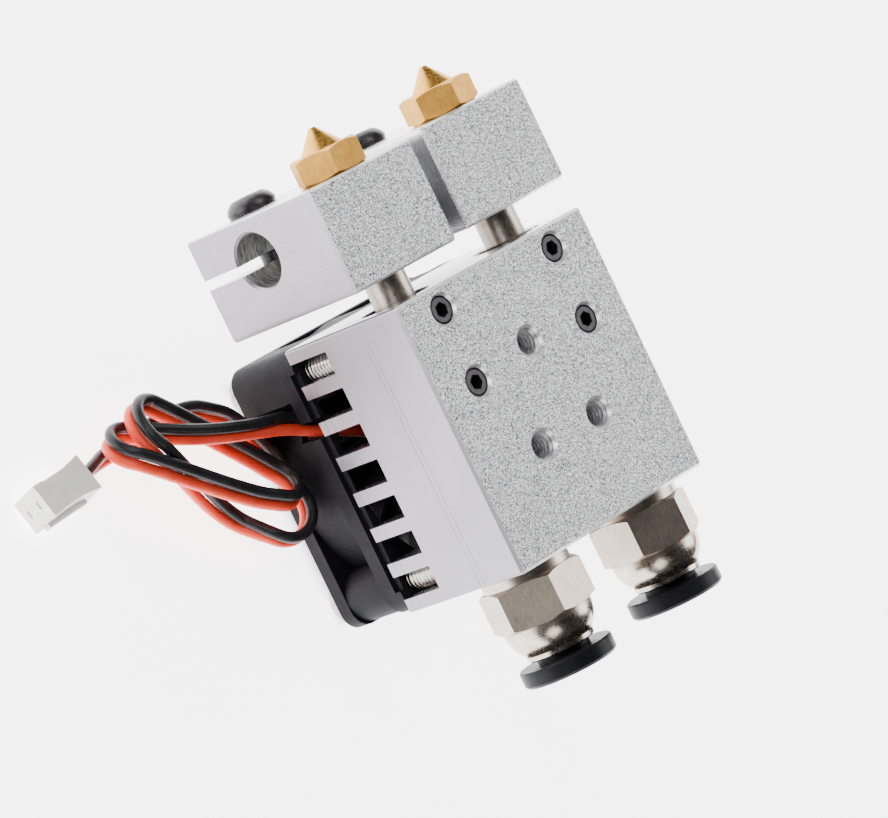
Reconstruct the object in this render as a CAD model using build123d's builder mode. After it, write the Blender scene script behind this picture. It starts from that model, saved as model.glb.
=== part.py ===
from build123d import *
import math
import os

os.makedirs("parts", exist_ok=True)

# A dual hotend lying on its fan: the mount face looks up (+Z), the nozzles point along -Y,
# the tube fittings along +Y, and the fan lead leaves on the +X side. Millimetres.
# "left" is the +X side: it is on the left when the fan is looked at with the nozzles down.

# ---- driving dimensions ----
nozzle_spacing = 18.0        # distance between the two filament axes
block_width = 30.0           # cold block along X
block_length = 30.0          # cold block along Y, the filament direction
block_depth = 18.0           # cold block along Z, fins included
axis_depth = 6.0             # filament axes below the mount face
fin_count = 8
fin_thickness = 1.5
fin_height = 5.7
edge_break = 0.3             # small chamfers on the machined parts

fan_size = 30.0
fan_depth = 10.0
fan_hole_spacing = 24.0
fan_screw_head_height = 2.0
fan_screw_head_radius = 2.8
fan_screw_reach = 5.2        # thread that stands in the fins

heater_width = 16.0          # heater block along X
heater_length = 11.5         # along Y
heater_depth = 20.0          # along Z
heater_set_back = 2.0        # its front face below the mount face
heater_gap = 2.9             # free length of heat break between the blocks
right_nozzle_drop = 0.4      # the right hot end is levelled this much further out
bore_radius = 3.0            # heater cartridge bore
bore_chamfer = 0.25
bore_from_front = 11.35
bore_from_nozzle_face = 4.55
slit_width = 1.1
slit_from_nozzle_face = 4.9
clamp_from_front = 17.4
clamp_screw_length = 9.5
probe_radius = 1.0           # temperature probe hole
probe_depth = 8.0

m3_radius = 1.5
m6_radius = 3.0
thread_gap = 0.03            # radial room between a screw and its hole
hole_mouth = 0.3             # chamfer at a tapped hole
grub_rows = (2.5, 10.65)     # from the hot face
grub_recess = 0.3
mount_hole_depth = 8.0
pair_hole_depth = 3.6         # stops above the bores that hold the heat breaks
mount_row_one = 9.7          # single hole, from the hot face
mount_row_two = 19.7         # pair of holes, from the hot face
mount_pair_spacing = 9.0

break_radius = 3.5           # heat break where the cold block holds it
break_bore_gap = 0.05
break_bore_depth = 20.0
break_grip_length = 18.4
neck_radius = 2.3
tube_bore_radius = 2.05      # room for a 4 mm feed tube
melt_bore_radius = 1.0

nozzle_hex = 7.0             # across flats
nozzle_hex_height = 3.0
nozzle_cone_height = 2.35
nozzle_cone_radius = 2.35
nozzle_tip_radius = 0.35
nozzle_thread_length = 6.0
orifice_radius = 0.2

fitting_hex = 10.0           # across flats
fitting_thread_length = 7.0
shoulder_end = 1.1           # heights above the cold face, along +Y
hex_end = 5.8
dome_end = 8.7
collar_end = 9.4
disc_start = 10.0
disc_end = 11.85
disc_radius = 5.2
dome_radius = 3.75
sleeve_radius = 2.95
sleeve_nose = 5.75
collar_bore_radius = 3.0
mouth_radius = 3.45

wire_radius = 0.62
pair_offset = Vector(0, -0.87, 0.94)     # black wire's place beside the red one

# ---- levels and places that follow from them ----
fan_bottom = fan_screw_head_height
fan_top = fan_bottom + fan_depth
mount_face = fan_top + block_depth
axis_z = mount_face - axis_depth
half_spacing = nozzle_spacing / 2

hot_reach = heater_gap + heater_length + nozzle_hex_height + nozzle_cone_height + right_nozzle_drop
overall_length = hot_reach + block_length + disc_end
hot_face = -overall_length / 2 + hot_reach
cold_face = hot_face + block_length
fan_centre_y = hot_face + block_length / 2

heater_front = mount_face - heater_set_back
heater_back = heater_front - heater_depth
bore_z = heater_front - bore_from_front
clamp_z = heater_front - clamp_from_front

sides = {"left": half_spacing, "right": -half_spacing}
drops = {"left": 0.0, "right": right_nozzle_drop}


def save(part, name):
    part.label = name
    export_step(part, f"parts/{name}.step")


def axis_plane(x):
    """Half-plane through a filament axis: local x is the radius, local y the row's Y."""
    return Plane(origin=(x, 0, axis_z), x_dir=(1, 0, 0), z_dir=(0, 0, 1))


def across_plane(x, y, z=axis_z):
    """Plane square to the filament: extruding it by +d goes to +Y."""
    return Plane(origin=(x, y, z), x_dir=(1, 0, 0), z_dir=(0, 1, 0))


def filament_axis(x):
    return Axis((x, 0, axis_z), (0, 1, 0))


# ---- cold block: heat sink, mount face and all its tapped holes ----
with BuildPart() as cold_block:
    with BuildSketch(Plane.XY.offset(fan_top)):
        with Locations((0, fan_centre_y)):
            RectangleRounded(block_width, block_length, edge_break)
    extrude(amount=block_depth)
    chamfer(cold_block.faces().sort_by(Axis.Z)[-1].edges(), edge_break)
    slot_width = (block_length - fin_count * fin_thickness) / (fin_count - 1)
    slot_pitch = fin_thickness + slot_width
    slot_mid = fan_top + fin_height / 2
    with Locations(Location((0, fan_centre_y, slot_mid))):
        with GridLocations(0, slot_pitch, 1, fin_count - 1):
            Box(block_width, slot_width, fin_height, mode=Mode.SUBTRACT)
    with Locations(Location((0, fan_centre_y, fan_top))):
        with GridLocations(fan_hole_spacing, fan_hole_spacing, 2, 2):
            Cylinder(m3_radius + thread_gap, fin_height, mode=Mode.SUBTRACT,
                     align=(Align.CENTER, Align.CENTER, Align.MIN))
    for x in sides.values():
        with BuildSketch(axis_plane(x)):
            with BuildLine():
                Polyline((0, hot_face), (break_radius + break_bore_gap + edge_break, hot_face),
                         (break_radius + break_bore_gap, hot_face + edge_break),
                         (break_radius + break_bore_gap, hot_face + break_bore_depth),
                         (m6_radius + thread_gap, hot_face + break_bore_depth),
                         (m6_radius + thread_gap, cold_face), (0, cold_face), close=True)
            make_face()
        revolve(axis=filament_axis(x), mode=Mode.SUBTRACT)
    grub_spots = [(x, hot_face + y) for x in sides.values() for y in grub_rows]
    with Locations(*[Location((x, y, mount_face)) for x, y in grub_spots]):
        CounterSinkHole(m3_radius + thread_gap, m3_radius + hole_mouth, depth=axis_depth)
    with Locations(Location((0, hot_face + mount_row_one, mount_face))):
        CounterSinkHole(m3_radius, m3_radius + hole_mouth, depth=mount_hole_depth)
    with Locations(Location((mount_pair_spacing / 2, hot_face + mount_row_two, mount_face)),
                   Location((-mount_pair_spacing / 2, hot_face + mount_row_two, mount_face))):
        CounterSinkHole(m3_radius, m3_radius + hole_mouth, depth=pair_hole_depth)
save(cold_block.part, "cold_block")


# ---- four grub screws that clamp the heat breaks ----
grub_end_z = axis_z + break_radius + 0.05
grub_top_z = mount_face - grub_recess
for number, (x, y) in enumerate(grub_spots, start=1):
    with BuildPart() as grub_screw:
        with BuildSketch(Plane.XY.offset(grub_end_z)):
            with Locations((x, y)):
                Circle(m3_radius)
        extrude(amount=grub_top_z - grub_end_z)
        chamfer(grub_screw.edges(), 0.2)
        with BuildSketch(Plane.XY.offset(grub_top_z)):
            with Locations((x, y)):
                RegularPolygon(0.75, 6, major_radius=False, rotation=20 * number)
        extrude(amount=-1.3, mode=Mode.SUBTRACT)
    save(grub_screw.part, f"grub_screw_{number}")


# ---- the two hot ends: heat break, heater block, clamp screw and nozzle ----
nozzle_turns = {"left": -5, "right": 14}    # where a corner of each hexagon points

for side, x in sides.items():
    block_top = hot_face - heater_gap - drops[side]       # the face next to the cold block
    nozzle_face = block_top - heater_length
    thread_end = nozzle_face + nozzle_thread_length

    with BuildPart() as heat_break:
        with BuildSketch(axis_plane(x)):
            with BuildLine():
                grip_start = hot_face + 0.25 - drops[side]
                grip_end = hot_face + break_grip_length - drops[side]
                Polyline((0, thread_end + 0.05), (m6_radius - 0.3, thread_end + 0.05),
                         (m6_radius, thread_end + 0.35), (m6_radius, block_top - 0.6),
                         (neck_radius, block_top - 0.1), (neck_radius, grip_start),
                         (break_radius - 0.3, grip_start), (break_radius, grip_start + 0.3),
                         (break_radius, grip_end - 0.3), (break_radius - 0.3, grip_end),
                         (0, grip_end), close=True)
            make_face()
        revolve(axis=filament_axis(x))
        with BuildSketch(across_plane(x, grip_end)):
            Circle(melt_bore_radius)
        extrude(amount=-40, mode=Mode.SUBTRACT)
        with BuildSketch(across_plane(x, grip_end)):
            Circle(tube_bore_radius)
        extrude(amount=-12, mode=Mode.SUBTRACT)
    save(heat_break.part, f"heat_break_{side}")

    with BuildPart() as heater_block:
        with BuildSketch(Plane.XY.offset(heater_back)):
            with Locations((x, (block_top + nozzle_face) / 2)):
                RectangleRounded(heater_width, heater_length, 0.5)
        extrude(amount=heater_depth)
        chamfer(heater_block.faces().sort_by(Axis.Z)[-1].edges(), 0.25)
        with BuildSketch(across_plane(x, nozzle_face)):
            Circle(m6_radius + thread_gap)
        extrude(amount=heater_length, mode=Mode.SUBTRACT)
        bore_y = nozzle_face + bore_from_nozzle_face
        with Locations(Location((x, bore_y, bore_z))):
            Cylinder(bore_radius, heater_width, rotation=(0, 90, 0), mode=Mode.SUBTRACT)
            for end in (-1, 1):
                with Locations(Location((end * (heater_width / 2 - bore_chamfer / 2), 0, 0))):
                    Cone(bore_radius + (bore_chamfer if end > 0 else 0),
                         bore_radius + (bore_chamfer if end < 0 else 0), bore_chamfer,
                         rotation=(0, -90, 0), mode=Mode.SUBTRACT)
        slit_y = nozzle_face + slit_from_nozzle_face
        with Locations(Location((x, slit_y, (heater_back + bore_z) / 2))):
            Box(heater_width, slit_width, bore_z - heater_back, mode=Mode.SUBTRACT)
        with BuildSketch(across_plane(x, nozzle_face, clamp_z)):
            Circle(m3_radius + 0.1)
        extrude(amount=slit_y - nozzle_face, mode=Mode.SUBTRACT)
        with BuildSketch(across_plane(x, nozzle_face, clamp_z)):
            Circle(m3_radius + thread_gap)
        extrude(amount=heater_length, mode=Mode.SUBTRACT)
        with Locations(Location((x - heater_width / 2 + probe_depth / 2,
                                 block_top - 2.6, bore_z + 0.6))):
            Cylinder(probe_radius, probe_depth, rotation=(0, 90, 0), mode=Mode.SUBTRACT)
    save(heater_block.part, f"heater_block_{side}")

    with BuildPart() as clamp_screw:
        head_height = 1.65
        head_radius = 2.75
        with BuildSketch(Plane(origin=(x, 0, clamp_z), x_dir=(1, 0, 0), z_dir=(0, 0, 1))):
            with BuildLine():
                low = nozzle_face - head_height
                Line((0, low), (1.7, low))
                ThreePointArc((1.7, low), (2.32, low + 0.44), (head_radius, nozzle_face - 0.5))
                Polyline((head_radius, nozzle_face - 0.5), (head_radius - 0.15, nozzle_face),
                         (m3_radius, nozzle_face),
                         (m3_radius, nozzle_face + clamp_screw_length - 0.4),
                         (m3_radius - 0.4, nozzle_face + clamp_screw_length),
                         (0, nozzle_face + clamp_screw_length), (0, low))
            make_face()
        revolve(axis=Axis((x, 0, clamp_z), (0, 1, 0)))
        with BuildSketch(across_plane(x, nozzle_face - head_height, clamp_z)):
            RegularPolygon(1.0, 6, major_radius=False)
        extrude(amount=1.1, mode=Mode.SUBTRACT)
    save(clamp_screw.part, f"clamp_screw_{side}")

    with BuildPart() as nozzle:
        hex_face = nozzle_face - nozzle_hex_height
        tip_face = hex_face - nozzle_cone_height
        corner = nozzle_hex / 2 / math.cos(math.pi / 6)
        with BuildSketch(across_plane(x, hex_face)):
            RegularPolygon(nozzle_hex / 2, 6, major_radius=False, rotation=-nozzle_turns[side])
        extrude(amount=nozzle_hex_height)
        with BuildSketch(axis_plane(x)):
            with BuildLine():
                Polyline((0, hex_face), (nozzle_hex / 2 - 0.1, hex_face),
                         (corner + 0.02, hex_face + 0.35), (corner + 0.02, nozzle_face - 0.35),
                         (nozzle_hex / 2 - 0.1, nozzle_face), (0, nozzle_face), close=True)
            make_face()
        revolve(axis=filament_axis(x), mode=Mode.INTERSECT)
        with BuildSketch(axis_plane(x)):
            with BuildLine():
                Polyline((0, tip_face), (nozzle_tip_radius, tip_face),
                         (nozzle_cone_radius, hex_face), (nozzle_cone_radius, hex_face + 0.5),
                         (m6_radius - 0.5, nozzle_face - 0.5), (m6_radius - 0.5, nozzle_face + 0.6),
                         (m6_radius, nozzle_face + 0.9), (m6_radius, thread_end - 0.3),
                         (m6_radius - 0.3, thread_end), (0, thread_end), close=True)
            make_face()
        revolve(axis=filament_axis(x))
        with BuildSketch(across_plane(x, thread_end)):
            Circle(melt_bore_radius)
        extrude(amount=tip_face + 1.2 - thread_end, mode=Mode.SUBTRACT)
        with BuildSketch(across_plane(x, thread_end)):
            Circle(orifice_radius)
        extrude(amount=-20, mode=Mode.SUBTRACT)
    save(nozzle.part, f"nozzle_{side}")


# ---- push-fit fittings: body, collar, grip ring, seal and release sleeve ----
fitting_turns = {"left": 6.5, "right": 32.5}

for side, x in sides.items():
    with BuildPart() as fitting_body:
        corner = fitting_hex / 2 / math.cos(math.pi / 6)
        with BuildSketch(across_plane(x, cold_face + shoulder_end)):
            RegularPolygon(fitting_hex / 2, 6, major_radius=False, rotation=-fitting_turns[side])
        extrude(amount=hex_end - shoulder_end)
        with BuildSketch(axis_plane(x)):
            with BuildLine():
                flat = fitting_hex / 2 - 0.1
                start = cold_face + shoulder_end
                end = cold_face + hex_end
                Polyline((0, start), (flat, start), (corner + 0.02, start + 0.4),
                         (corner + 0.02, end - 0.4), (flat, end), (0, end), close=True)
            make_face()
        revolve(axis=filament_axis(x), mode=Mode.INTERSECT)
        with BuildSketch(axis_plane(x)):
            with BuildLine():
                stub = cold_face - fitting_thread_length
                dome_start = cold_face + hex_end
                dome_tip = cold_face + dome_end
                Polyline((0, dome_start), (0, stub), (m6_radius - 0.4, stub),
                         (m6_radius, stub + 0.4), (m6_radius, cold_face),
                         (flat, cold_face), (flat, dome_start))
                ThreePointArc((flat, dome_start), (4.55, dome_start + 1.75),
                              (dome_radius, dome_tip))
                Polyline((dome_radius, dome_tip), (0, dome_tip), (0, dome_start))
            make_face()
        revolve(axis=filament_axis(x))
        with BuildSketch(axis_plane(x)):
            with BuildLine():
                Polyline((0, stub), (tube_bore_radius, stub),
                         (tube_bore_radius, cold_face + 1.5), (3.25, cold_face + 1.5),
                         (3.25, cold_face + 3.0), (2.6, cold_face + 3.0),
                         (2.6, cold_face + 4.2), (3.2, cold_face + 4.6),
                         (mouth_radius, cold_face + 4.6), (mouth_radius, dome_tip),
                         (0, dome_tip), close=True)
            make_face()
        revolve(axis=filament_axis(x), mode=Mode.SUBTRACT)
    save(fitting_body.part, f"fitting_body_{side}")

    with BuildPart() as fitting_collar:
        with BuildSketch(axis_plane(x)):
            with BuildLine():
                Polyline((collar_bore_radius, cold_face + 5.5), (mouth_radius, cold_face + 5.5),
                         (mouth_radius, dome_tip), (3.75, dome_tip + 0.1),
                         (3.75, cold_face + collar_end - 0.15),
                         (3.6, cold_face + collar_end),
                         (collar_bore_radius, cold_face + collar_end), close=True)
            make_face()
        revolve(axis=filament_axis(x))
    save(fitting_collar.part, f"fitting_collar_{side}")

    with BuildPart() as seal_ring:
        with BuildSketch(axis_plane(x)):
            with Locations((2.65, cold_face + 2.25)):
                Circle(0.58)
        revolve(axis=filament_axis(x))
    save(seal_ring.part, f"seal_ring_{side}")

    with BuildPart() as grip_ring:
        with BuildSketch(axis_plane(x)):
            with BuildLine():
                Polyline((2.15, cold_face + 4.55), (3.0, cold_face + 5.15),
                         (3.4, cold_face + 5.15), (3.4, cold_face + 5.35),
                         (2.9, cold_face + 5.35), (2.1, cold_face + 4.75), close=True)
            make_face()
        revolve(axis=filament_axis(x))
        with Locations(Location((x, cold_face + 5, axis_z), (90, 0, 0))):
            with PolarLocations(2.2, 8):
                Box(1.6, 0.25, 3, mode=Mode.SUBTRACT)
    save(grip_ring.part, f"grip_ring_{side}")

    with BuildPart() as release_sleeve:
        with BuildSketch(axis_plane(x)):
            with BuildLine():
                Polyline((tube_bore_radius, cold_face + sleeve_nose),
                         (sleeve_radius - 0.3, cold_face + sleeve_nose),
                         (sleeve_radius, cold_face + sleeve_nose + 0.4),
                         (sleeve_radius, cold_face + disc_start),
                         (disc_radius - 0.15, cold_face + disc_start),
                         (disc_radius, cold_face + disc_start + 0.15),
                         (disc_radius, cold_face + disc_end - 0.3),
                         (disc_radius - 0.3, cold_face + disc_end),
                         (tube_bore_radius + 0.4, cold_face + disc_end),
                         (tube_bore_radius, cold_face + disc_end - 0.4), close=True)
            make_face()
        revolve(axis=filament_axis(x))
    save(release_sleeve.part, f"release_sleeve_{side}")


# ---- fan frame: two flanges, a duct, four posts, struts and the motor's seat ----
lower_flange = 1.7
upper_flange = 2.6
rim_relief = (0.6, 0.8)      # across X and down Z: a gap between the rim and the fins
relief_length = 25.0
duct_outer = 14.95
duct_inner = 14.1
hub_radius = 7.0
hub_start = fan_top - 1.5
post_radius = 2.9
bearing_outer = 1.5
seat_radius = 2.2
channel_angle = -26.6        # the lead's way out, from the hub to the +X side
channel_width = 3.4
channel_length = 8.6
notch_end = fan_centre_y - 5.3          # the side of the notch nearest the fan's middle
notch_start = fan_centre_y - 9.85
finger_end = fan_centre_y - 7.35         # the upper rim reaches over the wires to here
notch_floor = fan_bottom + 5.2
finger_floor = fan_bottom + 7.3
finger_inside = 13.8
corner_inside = 8.9          # the corner by the notch is solid from here outwards
fan_centre = Location((0, fan_centre_y, 0))

with BuildPart() as fan_frame:
    for level, thickness in ((fan_bottom, lower_flange), (fan_top - upper_flange, upper_flange)):
        with BuildSketch(Plane.XY.offset(level)):
            with Locations((0, fan_centre_y)):
                RectangleRounded(fan_size, fan_size, 2.2)
        extrude(amount=thickness)
    with BuildSketch(Plane.XY.offset(fan_bottom)):
        with Locations((0, fan_centre_y)):
            RectangleRounded(fan_size, fan_size, 2.2)
        with Locations((corner_inside, notch_start)):
            Rectangle(fan_size, fan_size, mode=Mode.INTERSECT, align=(Align.MIN, Align.MAX))
    extrude(amount=fan_depth - upper_flange)
    with BuildSketch(Plane.XY.offset(fan_bottom)):
        with Locations((0, fan_centre_y)):
            Circle(duct_outer)
            with GridLocations(fan_hole_spacing, fan_hole_spacing, 2, 2):
                Circle(post_radius)
    extrude(amount=fan_depth)
    with BuildSketch(Plane.XY.offset(fan_bottom)):
        with Locations((0, fan_centre_y)):
            Circle(duct_inner)
            with GridLocations(fan_hole_spacing, fan_hole_spacing, 2, 2):
                Circle(m3_radius + 0.15)
    extrude(amount=fan_depth, mode=Mode.SUBTRACT)
    with BuildSketch(Plane.XY.offset(hub_start)):
        with Locations((0, fan_centre_y)):
            Circle(hub_radius)
    extrude(amount=fan_top - hub_start)
    with BuildSketch(Plane.XY.offset(fan_top - 1.3)):
        with Locations((0, fan_centre_y)):
            with PolarLocations(10.5, 4, start_angle=channel_angle + 12):
                Rectangle(8.0, 1.3, rotation=18)
    extrude(amount=1.3)
    with Locations(Location((0, fan_centre_y, fan_bottom + 2.6))):
        Cylinder(seat_radius, hub_start - fan_bottom - 2.6,
                 align=(Align.CENTER, Align.CENTER, Align.MIN))
        Cylinder(bearing_outer, hub_start - fan_bottom - 2.6, mode=Mode.SUBTRACT,
                 align=(Align.CENTER, Align.CENTER, Align.MIN))
    with BuildSketch(Plane.XY.offset(fan_top)):
        with Locations((0, fan_centre_y)):
            Circle(hub_radius - 0.3)
    extrude(amount=-0.25, mode=Mode.SUBTRACT)
    with Locations(fan_centre * Rot(0, 0, channel_angle) * Pos(4.6, 0, fan_top)):
        Box(channel_length, channel_width, fan_top - hub_start + 0.2, mode=Mode.SUBTRACT,
            align=(Align.MIN, Align.CENTER, Align.MAX))
    for start_x, start_y, low, high in (
            (12.6, notch_start, notch_floor, finger_floor),
            (12.6, finger_end, notch_floor, fan_top)):
        with Locations(Location((start_x, start_y, low))):
            Box(4, notch_end - start_y, high - low, mode=Mode.SUBTRACT,
                align=(Align.MIN, Align.MIN, Align.MIN))
    with Locations(Location((finger_inside, notch_end, fan_top))):
        Box(2.6, notch_end - notch_start, fan_top - notch_floor, mode=Mode.SUBTRACT,
            align=(Align.MAX, Align.MAX, Align.MAX))
    with Locations(Location((0, fan_centre_y, fan_top))):
        with GridLocations(fan_size - rim_relief[0], 0, 2, 1):
            Box(rim_relief[0], relief_length, 2 * rim_relief[1], mode=Mode.SUBTRACT)
save(fan_frame.part, "fan_frame")


def fan_ring(name, outer, inner, bottom, top):
    """A plain ring or disc about the fan's axis."""
    with BuildPart() as ring:
        with BuildSketch(Plane.XY.offset(bottom)):
            with Locations((0, fan_centre_y)):
                Circle(outer)
                if inner:
                    Circle(inner, mode=Mode.SUBTRACT)
        extrude(amount=top - bottom)
    save(ring.part, name)


# ---- fan motor: rotor with seven blades, magnet, shaft, bearing, stator, board ----
rotor_bottom = fan_bottom + 0.7
rotor_top = fan_top - 3.7
rotor_hub = 6.9
rotor_wall = 0.5
blade_reach = 13.6
blade_count = 7
blade_half_chord = 5.0
shaft_radius = 0.6

with BuildPart() as blade:
    for radius, pitch in ((5.6, 38), (14.6, 24)):
        with BuildSketch(Plane(origin=(radius, 0, (rotor_bottom + rotor_top) / 2),
                               x_dir=(0, 1, 0), z_dir=(1, 0, 0))):
            Ellipse(blade_half_chord, 0.42, rotation=-pitch)
    loft()

with BuildPart() as rotor_cup:
    with BuildSketch(Plane.XY.offset(rotor_bottom)):
        with Locations((0, fan_centre_y)):
            Circle(rotor_hub)
    extrude(amount=rotor_top - rotor_bottom)
    fillet(rotor_cup.faces().sort_by(Axis.Z)[0].edges(), 0.6)

with BuildPart() as fan_rotor:
    with Locations(fan_centre):
        with PolarLocations(0, blade_count):
            add(blade.part)
    with BuildSketch(Plane.XY.offset(rotor_bottom + 0.1)):
        with Locations((0, fan_centre_y)):
            Circle(blade_reach)
            Circle(rotor_hub - rotor_wall, mode=Mode.SUBTRACT)
    extrude(amount=rotor_top - rotor_bottom - 0.1, mode=Mode.INTERSECT)
    add(rotor_cup.part)
    with BuildSketch(Plane.XY.offset(rotor_bottom + 0.8)):
        with Locations((0, fan_centre_y)):
            Circle(rotor_hub - rotor_wall)
    extrude(amount=rotor_top, mode=Mode.SUBTRACT)
    with Locations(Location((0, fan_centre_y, rotor_bottom + 0.8))):
        Cylinder(1.4, 0.5, align=(Align.CENTER, Align.CENTER, Align.MIN))
    with Locations(Location((0, fan_centre_y, rotor_bottom + 0.4))):
        Cylinder(shaft_radius, 2, mode=Mode.SUBTRACT,
                 align=(Align.CENTER, Align.CENTER, Align.MIN))
save(fan_rotor.part, "fan_rotor")

fan_ring("fan_magnet", rotor_hub - rotor_wall, 5.5, rotor_bottom + 1.2, rotor_top - 0.4)
fan_ring("fan_shaft", shaft_radius, 0, rotor_bottom + 0.4, hub_start - 0.15)
fan_ring("shaft_clip", 1.1, shaft_radius, hub_start - 0.5, hub_start - 0.3)
fan_ring("fan_bearing", bearing_outer, shaft_radius + 0.03, fan_bottom + 2.8, hub_start - 0.7)
fan_ring("fan_circuit_board", 6.6, seat_radius, rotor_top + 0.2, hub_start - 0.2)
fan_ring("fan_label", hub_radius - 0.5, 0, fan_top - 0.25, fan_top - 0.15)

core_bottom = rotor_bottom + 2.4
core_top = rotor_top - 1.4
with BuildPart() as fan_stator_core:
    with BuildSketch(Plane.XY.offset(core_bottom)):
        with Locations((0, fan_centre_y)):
            Circle(5.2)
            Circle(4.5, mode=Mode.SUBTRACT)
            Circle(3.1)
            with PolarLocations(3.8, 4):
                Rectangle(1.8, 1.3)
            with PolarLocations(5.0, 4, start_angle=45):
                Rectangle(1.8, 0.9, mode=Mode.SUBTRACT)
            Circle(seat_radius, mode=Mode.SUBTRACT)
    extrude(amount=core_top - core_bottom)
save(fan_stator_core.part, "fan_stator_core")

with BuildPart() as fan_stator_coils:
    with Locations(Location((0, fan_centre_y, (core_bottom + core_top) / 2))):
        with PolarLocations(3.8, 4):
            Box(1.1, 2.3, core_top - core_bottom + 1.0)
            Box(1.3, 1.3, core_top - core_bottom, mode=Mode.SUBTRACT)
save(fan_stator_coils.part, "fan_stator_coils")


# ---- four pan-head screws through the fan into the fins ----
half_hole = fan_hole_spacing / 2
corners = [(half_hole, -half_hole), (half_hole, half_hole),
           (-half_hole, half_hole), (-half_hole, -half_hole)]
for number, (dx, dy) in enumerate(corners, start=1):
    spot = Location((dx, fan_centre_y + dy, 0))
    with BuildPart() as fan_screw:
        with BuildSketch(Plane(origin=(dx, fan_centre_y + dy, 0),
                               x_dir=(1, 0, 0), z_dir=(0, -1, 0))):
            with BuildLine():
                tip = fan_top + fan_screw_reach
                head = fan_screw_head_radius
                Line((0, 0), (1.3, 0))
                ThreePointArc((1.3, 0), (2.45, 0.5), (head, 1.5))
                Polyline((head, 1.5), (head, fan_bottom), (m3_radius, fan_bottom),
                         (m3_radius, tip - 0.25), (m3_radius - 0.25, tip), (0, tip), (0, 0))
            make_face()
        revolve(axis=Axis((dx, fan_centre_y + dy, 0), (0, 0, 1)))
        with Locations(spot * Rot(0, 0, 25 * number)):
            Box(2.6, 0.7, 2.2, mode=Mode.SUBTRACT)
            Box(0.7, 2.6, 2.2, mode=Mode.SUBTRACT)
    save(fan_screw.part, f"fan_screw_{number}")


# ---- fan lead: two wires out through the frame's notch, a loose coil, a connector ----
beyond_notch = [(19.6, fan_centre_y - 8.7, 8.2), (23.2, fan_centre_y - 9.9, 7.2),
                (26.2, fan_centre_y - 11.3, 5.6)]


def beside(points):
    """The black wire's points beside the red wire's."""
    return [tuple(Vector(*point) + pair_offset) for point in points]


wire_start = {
    "red": [(4.93, fan_centre_y - 1.8, 10.95), (10.1, fan_centre_y - 4.4, 10.95),
            (13.2, fan_centre_y - 6.05, 8.95), (15.6, fan_centre_y - 7.55, 8.0)] + beyond_notch,
    "black": [(4.37, fan_centre_y - 2.9, 10.95), (9.55, fan_centre_y - 5.5, 10.95),
              (12.7, fan_centre_y - 7.4, 8.85),
              (15.4, fan_centre_y - 8.95, 8.0)] + beside(beyond_notch),
}
wire_end = {
    "red": [(31.4, fan_centre_y - 13.3, 0.66), (34.4, fan_centre_y - 13.25, 0.7),
            (37.0, fan_centre_y - 13.0, 1.1), (39.2, fan_centre_y - 12.67, 1.6)],
    "black": [(31.4, fan_centre_y - 14.17, 1.6), (34.4, fan_centre_y - 14.1, 1.95),
              (37.0, fan_centre_y - 13.6, 2.9), (39.2, fan_centre_y - 13.19, 3.53)],
}


def corner_radii(points):
    """Each corner's arc is as large as its two runs allow."""
    radii = []
    for before, here, after in zip(points, points[1:], points[2:]):
        run_in = Vector(*here) - Vector(*before)
        run_out = Vector(*after) - Vector(*here)
        half_turn = math.radians(run_in.get_angle(run_out)) / 2
        radii.append(0.45 * min(run_in.length, run_out.length) / math.tan(half_turn))
    return radii


def wire_tube(name, points):
    radii = corner_radii(points)
    with BuildPart() as tube:
        with BuildLine() as path:
            FilletPolyline(*points, radius=radii)
        with BuildSketch(Plane(origin=path.line @ 0, z_dir=path.line % 0)):
            Circle(wire_radius)
        sweep()
    expected = math.pi * wire_radius ** 2 * path.wires()[0].length
    print(name, "arc radii", [round(r, 1) for r in radii],
          "volume over section times length", round(tube.part.volume / expected, 3))
    save(tube.part, name)
    return tube.part


start_tubes = [wire_tube(f"lead_{colour}_start", wire_start[colour]) for colour in wire_start]
end_tubes = [wire_tube(f"lead_{colour}_end", wire_end[colour]) for colour in wire_end]

coil_plan = [(15.15, -4.6), (15.15, 8.3), (17.4, 8.5), (20.6, 6.4), (34.5, -8.8),
             (34.5, -11.4), (32.0, -12.7), (29.5, -13.8), (26.2, -13.8), (22.0, -10.4)]
coil_side = [(15.15, 2.2), (19.0, 0.04), (34.5, 0.04), (34.5, 4.2), (32.6, 7.1),
             (23.0, 7.9), (18.0, 8.4), (15.15, 8.0)]
with BuildPart() as lead_coil:
    with BuildSketch():
        with BuildLine():
            Polyline(*coil_plan, close=True)
        make_face()
    extrude(amount=10)
    with BuildSketch(Plane.XZ.offset(-20)):
        with BuildLine():
            Polyline(*coil_side, close=True)
        make_face()
    extrude(amount=40, mode=Mode.INTERSECT)
    add(start_tubes + end_tubes, mode=Mode.SUBTRACT)
save(lead_coil.part, "lead_coil")

# ---- two-pin connector on the lead's end, lying on the surface ----
plug_length = 7.0
plug_height = 4.3
plug_thickness = 3.5
plug_flare = 0.35            # each side, at the wires' end
flare_length = 2.4
lip_length = 1.4             # the raised band at the mating end
lip_height = 0.12
rail_start = 0.9
rail_width = 0.6
plug_rear = (39.2, fan_centre_y - 12.93)
plug_turn = 3.7
plug_lean = 15.0
plug_centre_z = 2.65         # its lower edge lies on the surface
contact_pitch = 2.0
contact_start = 1.7
contact_length = 4.2
slot = (0.85, 0.35)
plug_frame = (Location((plug_rear[0], plug_rear[1], plug_centre_z)) * Rot(0, 0, plug_turn)
              * Rot(plug_lean, 0, 0))
contact_spots = [Pos(0, 0, shift) for shift in (-contact_pitch / 2, contact_pitch / 2)]
from_rear = (Align.MIN, Align.CENTER, Align.CENTER)

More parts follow.
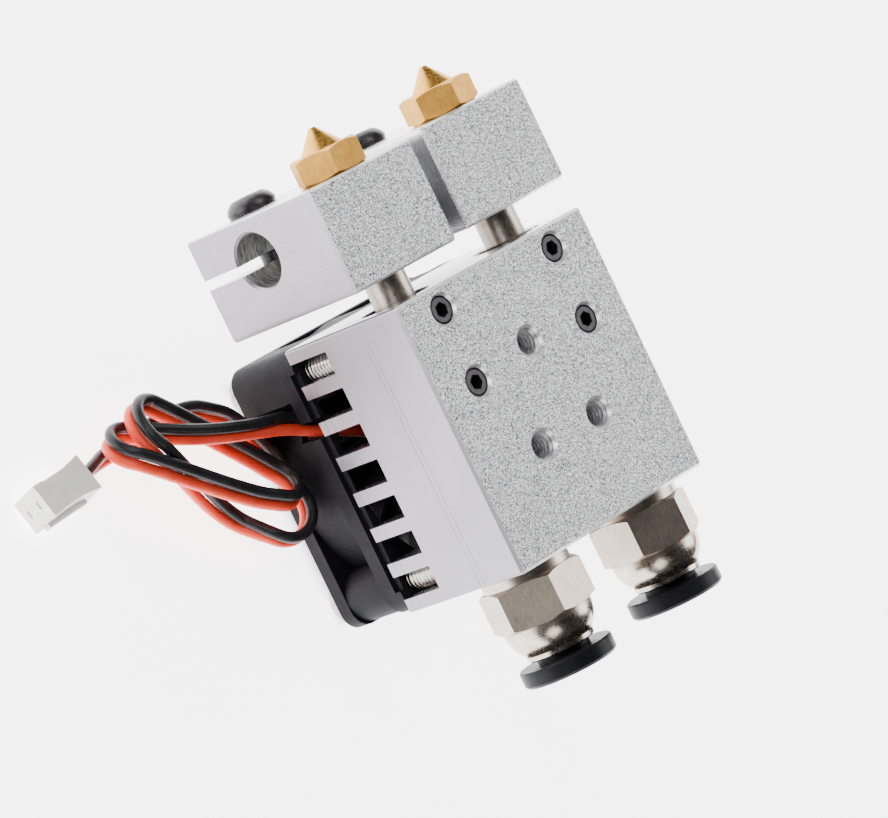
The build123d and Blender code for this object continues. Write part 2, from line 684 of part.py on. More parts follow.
with BuildPart() as housing_blank:
    half = plug_thickness / 2
    with BuildSketch(Plane.XY.offset(-plug_height / 2)):
        with BuildLine():
            Polyline((0, -half - plug_flare), (flare_length, -half), (plug_length, -half),
                     (plug_length, half), (flare_length, half), (0, half + plug_flare), close=True)
        make_face()
    extrude(amount=plug_height)
    with Locations(Location((plug_length - lip_length, 0, 0))):
        Box(lip_length, plug_thickness + 2 * lip_height, plug_height, align=from_rear)
    fillet(housing_blank.edges().filter_by(Axis.X), 0.12)
    with Locations(Location((rail_start, half, -0.5))):
        Box(plug_length - rail_start - 0.3, 2 * rail_width, 0.9, align=from_rear)
    with Locations(*contact_spots):
        Box(plug_length - 0.8, 1.1, 1.3, mode=Mode.SUBTRACT, align=from_rear)
        Box(1.5, 1.6, 1.8, mode=Mode.SUBTRACT, align=from_rear)
        Box(plug_length, *slot, mode=Mode.SUBTRACT, align=from_rear)

with BuildPart() as connector_housing:
    add(plug_frame * housing_blank.part)
save(connector_housing.part, "connector_housing")

for number, spot in enumerate(contact_spots, start=1):
    with BuildPart() as connector_contact:
        with Locations(plug_frame * spot * Pos(contact_start, 0, 0)):
            Box(contact_length, 0.9, 1.1, align=from_rear)
            with Locations(Location((0.6, 0, 0.15))):
                Box(contact_length - 0.4, 0.5, 0.7, mode=Mode.SUBTRACT, align=from_rear)
    save(connector_contact.part, f"connector_contact_{number}")
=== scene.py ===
from collections import namedtuple
from math import cos, pi, radians, sin

import bmesh
import bpy
from mathutils import Euler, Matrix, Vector


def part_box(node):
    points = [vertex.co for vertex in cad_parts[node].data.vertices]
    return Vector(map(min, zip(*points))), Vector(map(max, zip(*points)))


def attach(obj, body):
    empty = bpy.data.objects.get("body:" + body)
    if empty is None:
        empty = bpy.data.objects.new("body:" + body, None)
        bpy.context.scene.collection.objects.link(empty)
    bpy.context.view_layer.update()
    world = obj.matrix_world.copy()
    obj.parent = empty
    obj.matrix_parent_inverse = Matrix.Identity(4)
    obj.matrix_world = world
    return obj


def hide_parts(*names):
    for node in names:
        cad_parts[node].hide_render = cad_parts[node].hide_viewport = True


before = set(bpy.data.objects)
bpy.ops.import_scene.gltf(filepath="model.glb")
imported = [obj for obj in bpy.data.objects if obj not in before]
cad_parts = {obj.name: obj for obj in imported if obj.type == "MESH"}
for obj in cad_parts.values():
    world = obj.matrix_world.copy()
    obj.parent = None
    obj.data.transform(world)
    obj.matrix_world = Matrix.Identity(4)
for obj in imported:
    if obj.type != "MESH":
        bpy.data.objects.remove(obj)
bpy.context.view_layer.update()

MM = 0.001

# ---- places that come from the frame ----
block_low, block_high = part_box("cold_block")
MOUNT_FACE = block_high.z
HOT_FACE = block_low.y
FAN_MIDDLE = (block_low.y + block_high.y) / 2
HEATER_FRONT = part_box("heater_block_left")[1].z
AXIS_X = 9.0 * MM                        # half the distance between the filament axes
AXIS_Z = MOUNT_FACE - 6.0 * MM
SIDES = ("left", "right")
OBJECT_MIDDLE = (0.0, 0.0, MOUNT_FACE / 2)


# ======================= camera and lamps =======================
LENS_MM = 231.18
SENSOR_MM = 36.0
CAMERA_PLACE = (0.405626, -0.045973, 0.449198)
CAMERA_TURN = (18.436, -39.769, 145.691)     # degrees about X, Y and Z


def make_camera():
    data = bpy.data.cameras.new("camera")
    data.lens = LENS_MM
    data.sensor_width = SENSOR_MM
    data.clip_start = 0.01
    data.clip_end = 20.0
    camera = bpy.data.objects.new("camera", data)
    camera.location = CAMERA_PLACE
    camera.rotation_euler = Euler([radians(angle) for angle in CAMERA_TURN])
    bpy.context.collection.objects.link(camera)
    bpy.context.scene.camera = camera


def area_light(name, place, size, power, target=OBJECT_MIDDLE):
    data = bpy.data.lights.new(name, "AREA")
    data.shape = "RECTANGLE"
    data.size, data.size_y = size
    data.energy = power
    light = bpy.data.objects.new(name, data)
    light.location = place
    aim = Vector(target) - Vector(place)
    light.rotation_euler = aim.to_track_quat("-Z", "Y").to_euler()
    bpy.context.collection.objects.link(light)


# ======================= building materials from nodes =======================
class Finish:
    """A procedural material: a Principled shader and short calls for the nodes that feed it."""

    def __init__(self, name, metallic=0.0, roughness=0.4, **sockets):
        self.material = bpy.data.materials.new(name)
        self.material.use_nodes = True
        self.tree = self.material.node_tree
        self.shader = self.tree.nodes["Principled BSDF"]
        self.shader.inputs["Metallic"].default_value = metallic
        self.shader.inputs["Roughness"].default_value = roughness
        for socket, value in sockets.items():
            self.shader.inputs[socket.replace("_", " ")].default_value = value
        coordinates = self.tree.nodes.new("ShaderNodeTexCoord")
        self.place = coordinates.outputs["Object"]
        self.own_normal = coordinates.outputs["Normal"]
        self.bumped = None

    def join(self, value, socket):
        if isinstance(value, bpy.types.NodeSocket):
            self.tree.links.new(value, socket)
        else:
            socket.default_value = value

    def math(self, operation, first, second=0.0, third=0.0):
        node = self.tree.nodes.new("ShaderNodeMath")
        node.operation = operation
        for socket, value in zip(node.inputs, (first, second, third)):
            self.join(value, socket)
        return node.outputs[0]

    def product(self, first, *others):
        for other in others:
            first = self.math("MULTIPLY", first, other)
        return first

    def inverse(self, value):
        return self.math("SUBTRACT", 1.0, value)

    def blend(self, share, first, second):
        """A share of the first value, and the rest of the second."""
        return self.math("ADD", self.product(first, share), self.product(second, 1 - share))

    def hypotenuse(self, first, second):
        squares = self.math("ADD", self.product(first, first), self.product(second, second))
        return self.math("SQRT", squares)

    def part(self, letter, vector=None):
        node = self.tree.nodes.new("ShaderNodeSeparateXYZ")
        self.join(vector or self.place, node.inputs[0])
        return node.outputs[letter]

    def stretched(self, scale):
        node = self.tree.nodes.new("ShaderNodeMapping")
        self.join(self.place, node.inputs["Vector"])
        node.inputs["Scale"].default_value = scale
        return node.outputs[0]

    def noise(self, size_mm, detail=3.0, vector=None, roughness=0.55):
        node = self.tree.nodes.new("ShaderNodeTexNoise")
        self.join(vector or self.place, node.inputs["Vector"])
        node.inputs["Scale"].default_value = 1.0 / (size_mm * MM)
        node.inputs["Detail"].default_value = detail
        node.inputs["Roughness"].default_value = roughness
        return node.outputs["Fac"]

    def cells(self, size_mm):
        node = self.tree.nodes.new("ShaderNodeTexVoronoi")
        self.join(self.place, node.inputs["Vector"])
        node.inputs["Scale"].default_value = 1.0 / (size_mm * MM)
        return self.part("X", node.outputs["Color"])

    def ramp(self, value, *stops):
        """stops are (position, number or colour)."""
        node = self.tree.nodes.new("ShaderNodeValToRGB")
        self.join(value, node.inputs[0])
        elements = node.color_ramp.elements
        while len(elements) < len(stops):
            elements.new(0.5)
        for element, (position, colour) in zip(elements, stops):
            element.position = position
            if isinstance(colour, (int, float)):
                colour = (colour,) * 3
            element.color = (*colour, 1.0)
        return node.outputs[0]

    def mix(self, factor, first, second):
        node = self.tree.nodes.new("ShaderNodeMix")
        node.data_type = "RGBA"
        self.join(factor, node.inputs[0])
        for value, socket in ((first, node.inputs[6]), (second, node.inputs[7])):
            if isinstance(value, (int, float)):
                value = (value,) * 3
            if isinstance(value, tuple):
                value = (*value, 1.0)
            self.join(value, socket)
        return node.outputs[2]

    def bump(self, height, depth_mm):
        node = self.tree.nodes.new("ShaderNodeBump")
        self.join(height, node.inputs["Height"])
        node.inputs["Strength"].default_value = 1.0
        node.inputs["Distance"].default_value = depth_mm * MM
        if self.bumped:
            self.join(self.bumped, node.inputs["Normal"])
        self.bumped = node.outputs[0]
        self.join(self.bumped, self.shader.inputs["Normal"])

    def colour(self, value):
        self.join(value, self.shader.inputs["Base Color"])

    def roughness(self, value):
        self.join(value, self.shader.inputs["Roughness"])

    def step(self, value, low, high):
        """0 at low, 1 at high and smooth between them."""
        node = self.tree.nodes.new("ShaderNodeMapRange")
        node.interpolation_type = "SMOOTHSTEP"
        self.join(value, node.inputs["Value"])
        node.inputs["From Min"].default_value = low
        node.inputs["From Max"].default_value = high
        return node.outputs[0]

    def line(self, value, middle, half_width):
        """1 on a thin line where value is middle."""
        away = self.math("ABSOLUTE", self.math("SUBTRACT", value, middle))
        return self.inverse(self.step(away, 0.0, half_width))

    def axis_distance(self):
        """Distance from the nearer filament axis, whose direction is Y."""
        x = self.math("SUBTRACT", self.math("ABSOLUTE", self.part("X")), AXIS_X)
        z = self.math("SUBTRACT", self.part("Z"), AXIS_Z)
        return self.hypotenuse(x, z)


# ======================= the materials =======================
def blasted_speckle(f):
    """The speckle of a bead-blasted face, and the colour that it makes."""
    grain = f.noise(0.11, 3.0, roughness=0.8)
    glints = f.cells(0.08)
    speckle = f.blend(0.60, grain, glints)
    colour = f.ramp(speckle, (0.38, (0.09, 0.09, 0.10)), (0.46, (0.25, 0.25, 0.27)),
                    (0.52, (0.54, 0.54, 0.57)), (0.59, (1.0, 1.0, 1.0)))
    return speckle, colour


def satin_sides(f, cloud, fine, marks):
    """The colour and the roughness of milled sides."""
    colour = f.mix(cloud, (0.26, 0.245, 0.27), (0.35, 0.33, 0.365))
    colour = f.mix(f.product(f.step(fine, 0.38, 0.62), 0.38), colour, (0.16, 0.15, 0.17))
    colour = f.mix(f.product(marks, 0.75), colour, (0.12, 0.12, 0.13))
    return colour, f.ramp(fine, (0.3, 0.34), (0.7, 0.44))


def machining_lines(f, line_levels):
    marks = 0.0
    for place, half_width in line_levels:
        marks = f.math("MAXIMUM", marks, f.line(f.part("Z"), place, half_width))
    return marks


def polished_faces(f, with_gap):
    """1 on the face towards the nozzles, and on both sides of the gap between the heater blocks."""
    polished = f.step(f.product(f.part("Y", f.own_normal), -1.0), 0.7, 0.95)
    if with_gap:
        across = f.math("ABSOLUTE", f.part("X"))
        gap = f.inverse(f.step(across, 1.1 * MM, 1.3 * MM))
        polished = f.math("MAXIMUM", polished, gap)
    return polished


def drilled_wall(f, bore):
    """1 on the wall of a bore along X, given as its Y, its Z and its radius; and the wall's colour."""
    middle_y, middle_z, radius = bore
    away = f.hypotenuse(f.math("SUBTRACT", f.part("Y"), middle_y),
                        f.math("SUBTRACT", f.part("Z"), middle_z))
    inside = f.inverse(f.step(away, radius, radius + 0.3 * MM))
    across = f.math("ABSOLUTE", f.part("X", f.own_normal))
    tool_marks = f.noise(0.22, 3.0, f.stretched((1.0, 0.15, 0.15)))
    colour = f.ramp(tool_marks, (0.35, (0.30, 0.30, 0.29)), (0.65, (0.85, 0.85, 0.84)))
    return f.product(inside, f.step(across, 0.6, 0.4)), colour


def aluminium(name, front_level, line_levels=(), bore=None):
    """Milled aluminium with a bead-blasted front: sparkling grain there, satin sides elsewhere.

    line_levels are the height and half width of each machining line on the sides. A block with a
    bore is a heater block."""
    f = Finish(name, metallic=0.92)
    upward = f.part("Z", f.own_normal)
    high = f.step(f.part("Z"), front_level - 0.6 * MM, front_level - 0.4 * MM)
    front = f.product(f.step(upward, 0.90, 0.97), high)
    sides = f.inverse(front)
    # painted highlight: the chamfers at the top of the sides are painted white, standing in for the
    # bright reflection along them
    painted_chamfer_highlight = f.product(f.step(upward, 0.45, 0.60), sides, high)
    cloud = f.noise(7.0, 2.0)
    fine = f.noise(0.12, 2.0)
    marks = machining_lines(f, line_levels)

    colour, rough = satin_sides(f, cloud, fine, marks)
    polished = polished_faces(f, with_gap=bool(bore))
    colour = f.mix(polished, colour, f.mix(cloud, (0.50, 0.50, 0.51), (0.78, 0.78, 0.79)))
    rough = f.mix(polished, rough, 0.22)
    if bore:
        drilled, drilled_colour = drilled_wall(f, bore)
        colour = f.mix(drilled, colour, drilled_colour)
        rough = f.mix(drilled, rough, 0.38)
    speckle, blasted = blasted_speckle(f)
    # the painted chamfer highlight turns the colour white on the chamfers
    f.colour(f.mix(painted_chamfer_highlight, f.mix(front, colour, blasted), (1.0, 1.0, 1.0)))
    f.roughness(f.mix(front, rough, f.ramp(speckle, (0.35, 0.55), (0.7, 0.28))))

    if line_levels:
        f.bump(f.product(marks, sides, -1.0), 0.02)
    f.bump(f.product(speckle, front), 0.07)
    f.bump(f.product(fine, sides), 0.009)
    return f.material


def turned_metal(name, dark, light, roughness, ring_depth_mm, brushed_from_mm=None):
    """Metal turned about a filament axis. Past brushed_from_mm it has flats brushed along Y."""
    f = Finish(name, metallic=1.0)
    radius = f.axis_distance()
    round_about = f.tree.nodes.new("ShaderNodeCombineXYZ")
    f.join(radius, round_about.inputs["X"])
    f.join(f.part("Y"), round_about.inputs["Y"])
    rings = f.noise(0.18, 1.0, round_about.outputs[0])
    patches = f.noise(2.2, 3.0)
    fine = f.noise(0.3, 3.0)
    shade = f.blend(0.6, patches, fine)
    rough = f.ramp(fine, (0.3, roughness * 0.8), (0.7, roughness * 1.25))
    if brushed_from_mm:
        flats = f.step(radius, (brushed_from_mm - 0.05) * MM, (brushed_from_mm + 0.05) * MM)
        brushing = f.noise(0.10, 3.0, f.stretched((1.0, 0.10, 1.0)))
        shade = f.mix(f.product(flats, 0.5), shade, brushing)
        rough = f.mix(flats, rough, roughness * 1.7)
        f.bump(f.product(brushing, flats), 0.0025)
    f.colour(f.ramp(shade, (0.35, dark), (0.65, light)))
    f.roughness(rough)
    f.bump(rings, ring_depth_mm)
    return f.material


def black_oxide():
    f = Finish("black_oxide", metallic=0.6)
    haze = f.noise(0.8, 4.0)
    f.colour(f.ramp(haze, (0.35, (0.016, 0.015, 0.017)), (0.7, (0.050, 0.047, 0.050))))
    f.roughness(f.ramp(haze, (0.3, 0.30), (0.7, 0.44)))
    f.bump(f.noise(0.4, 2.0), 0.002)
    return f.material


def plated_screw():
    f = Finish("plated_screw", metallic=1.0)
    haze = f.noise(0.6, 3.0)
    f.colour(f.ramp(haze, (0.35, (0.24, 0.22, 0.20)), (0.65, (0.46, 0.43, 0.39))))
    f.roughness(f.ramp(haze, (0.3, 0.13), (0.7, 0.26)))
    f.bump(f.noise(0.2, 2.0), 0.004)
    return f.material


def moulded_plastic(name, dark, light, roughness, grain_mm=0.18, depth_mm=0.012):
    f = Finish(name, metallic=0.0, Specular_IOR_Level=0.08)
    patches = f.noise(4.0, 3.0)
    grain = f.noise(grain_mm, 3.0)
    f.colour(f.ramp(patches, (0.35, dark), (0.7, light)))
    f.roughness(f.ramp(grain, (0.3, roughness * 0.85), (0.7, roughness * 1.2)))
    f.bump(grain, depth_mm)
    return f.material


def wire_insulation(name, dark, light):
    f = Finish(name, metallic=0.0, Specular_IOR_Level=0.22)
    patches = f.noise(2.5, 3.0)
    skin = f.noise(0.25, 3.0)
    f.colour(f.ramp(patches, (0.3, dark), (0.7, light)))
    f.roughness(f.ramp(skin, (0.3, 0.26), (0.7, 0.42)))
    f.bump(skin, 0.012)
    return f.material


def nylon():
    f = Finish("natural_nylon", metallic=0.0, Subsurface_Weight=0.35, Subsurface_Scale=0.8 * MM)
    patches = f.noise(1.6, 3.0)
    f.colour(f.ramp(patches, (0.3, (0.84, 0.83, 0.80)), (0.7, (0.93, 0.93, 0.91))))
    f.roughness(f.ramp(f.noise(0.3, 2.0), (0.3, 0.30), (0.7, 0.45)))
    f.bump(f.noise(0.4, 2.0), 0.010)
    return f.material


def small_metal(name, dark, light, roughness):
    f = Finish(name, metallic=1.0)
    haze = f.noise(0.5, 3.0)
    f.colour(f.ramp(haze, (0.35, dark), (0.65, light)))
    f.roughness(f.ramp(haze, (0.3, roughness * 0.8), (0.7, roughness * 1.3)))
    f.bump(f.noise(0.1, 2.0), 0.004)
    return f.material


FLOOR_GLOW = 5.0                         # a light table, so the floor reads as white paper
PAINTED_SHADOW_HALF = 15.0 * MM                   # half width of the painted shadow under the fan: a patch of floor that does not glow
PAINTED_SHADOW_FADE = 3.0 * MM


def floor_finish():
    f = Finish("floor_paper", metallic=0.0, roughness=0.9, Emission_Color=(1.0, 1.0, 1.0, 1.0))
    f.colour(f.ramp(f.noise(6.0, 2.0), (0.3, 0.93), (0.7, 0.95)))
    f.bump(f.noise(0.6, 2.0), 0.01)
    across = f.math("ABSOLUTE", f.part("X"))
    along = f.math("ABSOLUTE", f.math("SUBTRACT", f.part("Y"), FAN_MIDDLE))
    # painted shadow: the floor's glow fades out in a square under the fan, standing in for the fan's
    # shadow
    painted_shadow = f.step(f.math("MAXIMUM", across, along), PAINTED_SHADOW_HALF, PAINTED_SHADOW_HALF - PAINTED_SHADOW_FADE)
    f.join(f.product(f.inverse(painted_shadow), FLOOR_GLOW), f.shader.inputs["Emission Strength"])
    return f.material


# ======================= small mesh tools =======================
def mesh_object(name, vertices, faces, material):
    mesh = bpy.data.meshes.new(name)
    mesh.from_pydata(vertices, [], faces)
    made = bmesh.new()
    made.from_mesh(mesh)
    bmesh.ops.recalc_face_normals(made, faces=made.faces)
    made.to_mesh(mesh)
    made.free()
    for polygon in mesh.polygons:
        polygon.use_smooth = True
    mesh.materials.append(material)
    piece = bpy.data.objects.new(name, mesh)
    bpy.context.collection.objects.link(piece)
    return piece


def turned(name, centre, rings, material, segments=64, closed=False):
    """A surface about the vertical axis through centre. rings are (radius function, height).

    A radius function takes an angle. A closed surface joins its last ring to its first, and any other
    is capped at both ends."""
    vertices, faces = [], []
    for radius, height in rings:
        for step in range(segments):
            angle = 2 * pi * step / segments
            r = radius(angle)
            vertices.append((centre[0] + r * cos(angle), centre[1] + r * sin(angle), height))
    for row in range(len(rings) if closed else len(rings) - 1):
        upper = (row + 1) % len(rings)
        for step in range(segments):
            after = (step + 1) % segments
            faces.append((row * segments + step, row * segments + after,
                          upper * segments + after, upper * segments + step))
    if not closed:
        faces.append(tuple(range(segments)))
        top = (len(rings) - 1) * segments
        faces.append(tuple(range(top, top + segments)))
    return mesh_object(name, vertices, faces, material)


def plain(radius):
    return lambda angle: radius


def cross(reach, half_width, turn):
    """The outline of a cross-shaped recess, as a radius function."""
    def radius(angle):
        along, aside = abs(cos(angle - turn)), abs(sin(angle - turn))
        arms = [min(reach / max(a, 0.01), half_width / max(b, 0.01))
                for a, b in ((along, aside), (aside, along))]
        return max(arms)
    return radius


# ======================= the fan lead =======================
WIRE_DIAMETER = 1.24 * MM

# The route is in millimetres and degrees. Outside the coil it follows the CAD's wires.
BESIDE = Vector((0.0, -0.87, 0.94))      # from the red wire to the black one
COIL_SPACING = 1.38                      # between the two wires in the coil
POINTS_PER_BEND = 8
Bend = namedtuple("Bend", "centre radius heading rise lean half_turn")
RED_INSIDE = [(4.93, 2.35, 10.95), (10.1, -0.25, 10.95), (13.2, -1.9, 8.95), (15.6, -3.4, 8.0)]
BLACK_INSIDE = [(4.37, 1.25, 10.95), (9.55, -1.35, 10.95), (12.7, -3.25, 8.85),
                (15.4, -4.8, 8.0)]
TO_COIL = [(19.6, -4.55, 8.2), (23.2, -5.75, 7.2), (26.2, -7.15, 5.6)]
# The outside of a bend faces its heading, turned from +X towards +Y, and its rise above level.
# Its plane leans about that direction, and it turns half_turn either side of it.
BENDS = (
    Bend((33.0, -8.8, 4.8), 2.8, -30, -15, 45, 90),
    Bend((19.9, 1.2, 6.3), 2.8, 140, 8, -35, 85),
    Bend((29.3, -9.2, 5.1), 3.7, -45, 0, 30, 80),
    Bend((19.0, 4.1, 4.9), 3.2, 120, 10, 0, 85),
)
TO_CONNECTOR = [(15.7, 2.5, 4.5), (15.9, -1.9, 3.2), (17.5, -6.6, 1.7), (20.1, -7.8, 2.7),
                (22.1, -9.3, 2.3), (25.8, -9.5, 1.3), (28.4, -9.3, 1.0)]
AFTER_BEND = ([(24.1, 1.1, 7.0)], [(19.9, -2.4, 4.9)], [(23.9, 2.1, 1.5)], TO_CONNECTOR)
RED_END = [(31.4, -9.15, 0.66), (34.4, -9.1, 0.7), (37.0, -8.85, 1.1), (39.2, -8.52, 1.6)]
BLACK_END = [(31.4, -10.02, 1.6), (34.4, -9.95, 1.95), (37.0, -9.45, 2.9), (39.2, -9.04, 3.53)]


def beside(points):
    return [tuple(Vector(point) + BESIDE) for point in points]


def bend_points(bend):
    """The points round one bend, each with the side of it that the black wire lies on."""
    heading, rise, lean, half_turn = (radians(angle) for angle in bend[2:])
    outward = Vector((cos(heading) * cos(rise), sin(heading) * cos(rise), sin(rise)))
    level = Vector((-sin(heading), cos(heading), 0.0))
    onward = cos(lean) * level + sin(lean) * outward.cross(level)
    axis = outward.cross(onward)
    if axis.dot(BESIDE) < 0:
        axis.negate()
    for step in range(POINTS_PER_BEND):
        turn = half_turn * (2 * step / (POINTS_PER_BEND - 1) - 1)
        reach = cos(turn) * outward + sin(turn) * onward
        yield Vector(bend.centre) + bend.radius * reach, axis


def coil_points():
    """The red wire's points in the coil, and the black wire's, square to the run beside them."""
    places = []
    for bend, after in zip(BENDS, AFTER_BEND):
        places += bend_points(bend)
        places += [(Vector(point), BESIDE) for point in after]
    red = [place for place, side in places]
    line = [Vector(TO_COIL[-1]), *red, Vector(RED_END[0])]
    black = []
    for index, (place, side) in enumerate(places):
        along = (line[index + 2] - line[index]).normalized()
        black.append(place + COIL_SPACING * (side - side.dot(along) * along).normalized())
    return red, black


def wire(colour, points, material, stand_ins):
    """One wire of the lead, in place of the CAD solids that stand for it."""
    name = f"lead_{colour}"
    curve = bpy.data.curves.new(name, "CURVE")
    curve.dimensions = "3D"
    curve.bevel_depth = WIRE_DIAMETER / 2
    curve.bevel_resolution = 6
    curve.resolution_u = 12
    curve.use_fill_caps = True
    spline = curve.splines.new("NURBS")
    spline.points.add(len(points) - 1)
    for control, point in zip(spline.points, points):
        control.co = (*(value * MM for value in point), 1.0)
    spline.order_u = 3
    spline.use_endpoint_u = True
    curve.materials.append(material)
    piece = bpy.data.objects.new(name, curve)
    bpy.context.collection.objects.link(piece)
    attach(piece, "cold_side")
    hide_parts(*stand_ins)
    tuple(value * MM for value in points[0])


def make_lead():
    red_coil, black_coil = coil_points()
    wire("red", RED_INSIDE + TO_COIL + red_coil + RED_END,
         wire_insulation("red_insulation", (0.88, 0.060, 0.030), (1.0, 0.095, 0.045)),
         ("lead_red_start", "lead_red_end", "lead_coil"))
    wire("black", BLACK_INSIDE + beside(TO_COIL) + black_coil + BLACK_END,
         wire_insulation("black_insulation", (0.010, 0.010, 0.011), (0.022, 0.022, 0.024)),
         ("lead_black_start", "lead_black_end"))


# ======================= threaded pieces =======================
M3_RADIUS = 1.5 * MM
M3_ROOT = 1.24 * MM
THREAD_PITCH = 0.5 * MM
CREST_STARTS, CREST_ENDS = 0.42, 0.58    # shares of the pitch
HOLE_MOUTH = 0.38 * MM                   # the thread starts below the hole's countersink
# Each mounting hole's X, its distance from the hot face, and how deep its thread goes, in millimetres.
MOUNT_HOLES = ((0.0, 9.7, 7.9), (4.5, 19.7, 3.5), (-4.5, 19.7, 3.5))
FAN_SCREWS = range(1, 5)
HEAD_HEIGHT = 2.0 * MM
# The radius and height of the dome of a fan screw's head, in millimetres from its lowest point.
HEAD_DOME = ((1.40, 0.0), (1.75, 0.12), (2.15, 0.30), (2.45, 0.52), (2.66, 0.86), (2.77, 1.25))


def thread_rings(root, crest, bottom, top):
    """Rings for a row of thread ridges between two heights."""
    count = int((top - bottom) / THREAD_PITCH)
    rings = []
    for turn in range(count):
        start = bottom + turn * THREAD_PITCH
        rings += [(plain(root), start), (plain(crest), start + CREST_STARTS * THREAD_PITCH),
                  (plain(crest), start + CREST_ENDS * THREAD_PITCH)]
    return rings + [(plain(root), bottom + count * THREAD_PITCH)]


def mount_threads(material):
    """The screw thread inside each of the three mounting holes."""
    top = MOUNT_FACE - HOLE_MOUTH
    backing = M3_RADIUS + 0.03 * MM
    for number, (x, y, depth) in enumerate(MOUNT_HOLES, start=1):
        bottom = MOUNT_FACE - depth * MM
        rings = thread_rings(M3_RADIUS, M3_ROOT, bottom, top)
        rings += [(plain(backing), top), (plain(backing), bottom)]
        piece = turned(f"mount_thread_{number}", (x * MM, HOT_FACE + y * MM), rings, material,
                       segments=48, closed=True)
        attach(piece, "cold_side")


def fan_screw_rings(low, high, turn):
    """A pan-head screw from its recess, round its head and up its thread to its end."""
    head_top = low.z + HEAD_HEIGHT
    head = (high.x - low.x) / 2
    rings = [(cross(0.9 * MM, 0.22 * MM, turn), low.z + 1.05 * MM),
             (cross(1.3 * MM, 0.36 * MM, turn), low.z + 0.03 * MM)]
    rings += [(plain(radius * MM), low.z + height * MM) for radius, height in HEAD_DOME]
    rings += [(plain(head), low.z + 1.55 * MM), (plain(head), head_top - 0.08 * MM),
              (plain(head - 0.08 * MM), head_top), (plain(M3_RADIUS - 0.05 * MM), head_top)]
    rings += thread_rings(M3_ROOT, M3_RADIUS - 0.01 * MM, head_top + 0.3 * MM,
                          high.z - 0.55 * MM)
    return rings + [(plain(M3_ROOT - 0.06 * MM), high.z - 0.30 * MM),
                    (plain(M3_ROOT - 0.10 * MM), high.z - 0.06 * MM),
                    (plain(M3_ROOT - 0.22 * MM), high.z), (plain(0.05 * MM), high.z)]


def fan_screws(material):
    """The fan's screws, whose threaded ends stand in the first and last slots."""
    for number in FAN_SCREWS:
        low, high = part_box(f"fan_screw_{number}")
        centre = ((low.x + high.x) / 2, (low.y + high.y) / 2)
        rings = fan_screw_rings(low, high, turn=radians(25 * number))
        piece = turned(f"fan_screw_turned_{number}", centre, rings, material)
        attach(piece, "cold_side")
        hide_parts(f"fan_screw_{number}")


# ======================= dressing the CAD nodes =======================
# The height and half width of each machining line on the cold block's sides, in metres.
BLOCK_LINES = ((12.95 * MM, 0.06 * MM), (13.95 * MM, 0.06 * MM),
               (23.5 * MM, 0.05 * MM), (24.2 * MM, 0.04 * MM))
BORE_FROM_NOZZLE_FACE = 4.55 * MM
BORE_FROM_FRONT = 11.35 * MM
BORE_REACH = 3.25 * MM                   # a heater bore's radius with its chamfer


def dress(material, *nodes):
    for node in nodes:
        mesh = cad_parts[node].data
        mesh.materials.clear()
        mesh.materials.append(material)


def both(*names):
    return [f"{name}_{side}" for name in names for side in SIDES]


def heater_bores():
    """The Y, Z and radius that take in both heater bores, whose Y differ a little."""
    left, right = (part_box(node)[0].y for node in both("heater_block"))
    return (left + right) / 2 + BORE_FROM_NOZZLE_FACE, HEATER_FRONT - BORE_FROM_FRONT, BORE_REACH


def dress_metals():
    dress(aluminium("cold_block_aluminium", MOUNT_FACE, BLOCK_LINES), "cold_block")
    dress(aluminium("heater_aluminium", HEATER_FRONT, bore=heater_bores()), *both("heater_block"))
    dress(turned_metal("turned_brass", (0.46, 0.22, 0.035), (0.74, 0.40, 0.085), 0.30, 0.0012,
                       brushed_from_mm=3.3), *both("nozzle"))
    dress(turned_metal("break_steel", (0.33, 0.28, 0.24), (0.44, 0.39, 0.34), 0.33, 0.0010),
          *both("heat_break"))
    dress(turned_metal("warm_nickel", (0.36, 0.30, 0.25), (0.60, 0.51, 0.44), 0.24, 0.0006,
                       brushed_from_mm=4.9), *both("fitting_body", "fitting_collar"))
    dress(black_oxide(), *both("clamp_screw"), *[f"grub_screw_{n}" for n in range(1, 5)])
    dress(small_metal("bright_sheet", (0.45, 0.45, 0.46), (0.70, 0.70, 0.71), 0.22),
          *both("grip_ring"), "shaft_clip", "fan_shaft", "fan_stator_core")
    dress(small_metal("sintered_bronze", (0.30, 0.18, 0.09), (0.50, 0.32, 0.17), 0.42),
          "fan_bearing")
    dress(small_metal("enamelled_copper", (0.45, 0.15, 0.05), (0.72, 0.30, 0.12), 0.28),
          "fan_stator_coils")
    dress(small_metal("tinned_contact", (0.45, 0.42, 0.36), (0.72, 0.68, 0.60), 0.28),
          "connector_contact_1", "connector_contact_2")
    mount_threads(small_metal("cut_thread", (0.62, 0.62, 0.63), (0.94, 0.94, 0.95), 0.38))
    fan_screws(plated_screw())


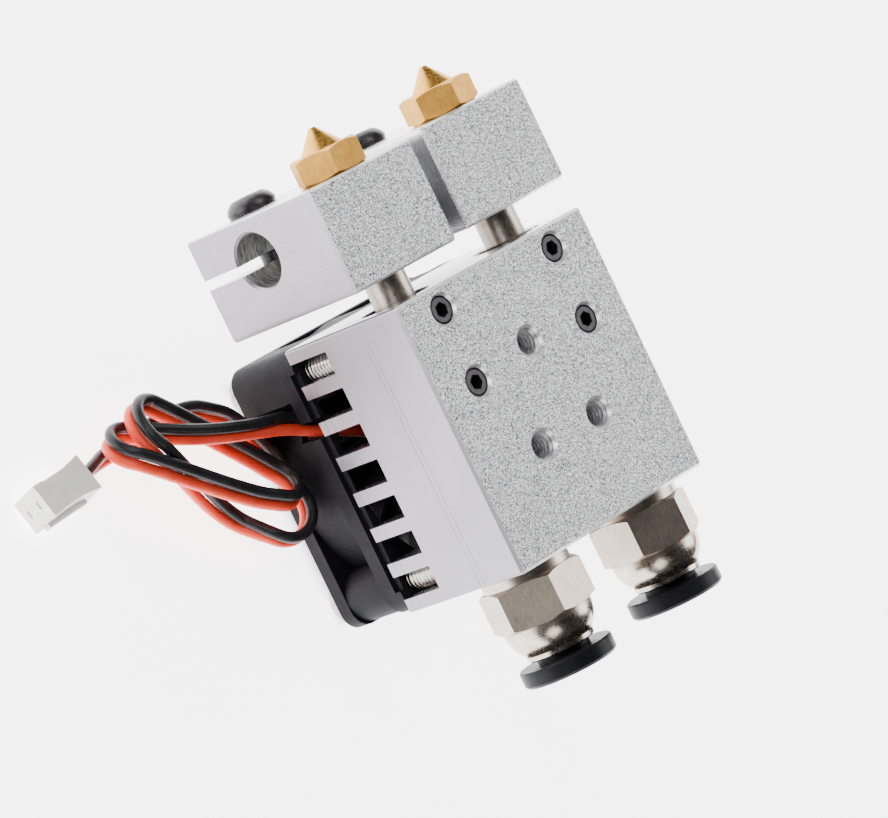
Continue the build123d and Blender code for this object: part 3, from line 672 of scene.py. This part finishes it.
def dress_plastics():
    dress(moulded_plastic("fan_black", (0.008, 0.008, 0.010), (0.015, 0.015, 0.018), 0.55),
          "fan_frame")
    dress(moulded_plastic("rotor_black", (0.012, 0.012, 0.014), (0.024, 0.024, 0.027), 0.36),
          "fan_rotor")
    dress(moulded_plastic("sleeve_black", (0.009, 0.009, 0.011), (0.018, 0.018, 0.021), 0.34,
                          grain_mm=0.12, depth_mm=0.006), *both("release_sleeve"))
    dress(moulded_plastic("seal_rubber", (0.008, 0.008, 0.008), (0.018, 0.018, 0.018), 0.6),
          *both("seal_ring"))
    dress(moulded_plastic("ferrite", (0.05, 0.045, 0.04), (0.10, 0.09, 0.08), 0.6), "fan_magnet")
    dress(moulded_plastic("solder_mask", (0.010, 0.09, 0.035), (0.015, 0.14, 0.055), 0.3),
          "fan_circuit_board")
    dress(moulded_plastic("label_film", (0.55, 0.55, 0.54), (0.66, 0.66, 0.64), 0.4),
          "fan_label")
    dress(nylon(), "connector_housing")


# ======================= the studio =======================
FLOOR_HALF = 3.0
DARK_SIDE = (0.68, -0.08, 0.73)          # the direction in which the surroundings are dim
DIMMED_TO = 0.55


def make_floor():
    corners = [(-FLOOR_HALF, -FLOOR_HALF, 0), (FLOOR_HALF, -FLOOR_HALF, 0),
               (FLOOR_HALF, FLOOR_HALF, 0), (-FLOOR_HALF, FLOOR_HALF, 0)]
    mesh_object("floor", corners, [(0, 1, 2, 3)], floor_finish())


def make_surroundings():
    world = bpy.data.worlds.new("studio")
    bpy.context.scene.world = world
    world.use_nodes = True
    nodes, links = world.node_tree.nodes, world.node_tree.links
    direction = nodes.new("ShaderNodeTexCoord").outputs["Generated"]
    towards = nodes.new("ShaderNodeVectorMath")
    towards.operation = "DOT_PRODUCT"
    towards.inputs[1].default_value = DARK_SIDE
    links.new(direction, towards.inputs[0])
    shade = nodes.new("ShaderNodeMapRange")
    shade.interpolation_type = "SMOOTHSTEP"
    shade.inputs["From Min"].default_value = 0.2
    shade.inputs["From Max"].default_value = 0.97
    shade.inputs["To Min"].default_value = 1.0
    shade.inputs["To Max"].default_value = DIMMED_TO
    links.new(towards.outputs["Value"], shade.inputs["Value"])
    links.new(shade.outputs[0], nodes["Background"].inputs["Strength"])


def make_lamps():
    area_light("softbox", (-0.60, 0.06, 0.42), (0.55, 0.45), 4.6)
    area_light("key", (-0.10, -0.55, 0.60), (0.35, 0.35), 2.5)
    area_light("fill", (0.45, 0.55, 0.45), (0.35, 0.35), 1.5)
    area_light("lead_light", (0.10, -0.06, 0.10), (0.06, 0.06), 0.07,
               target=(0.040, -0.010, 0.0))


make_camera()
make_lead()
dress_metals()
dress_plastics()
make_floor()
make_surroundings()
make_lamps()
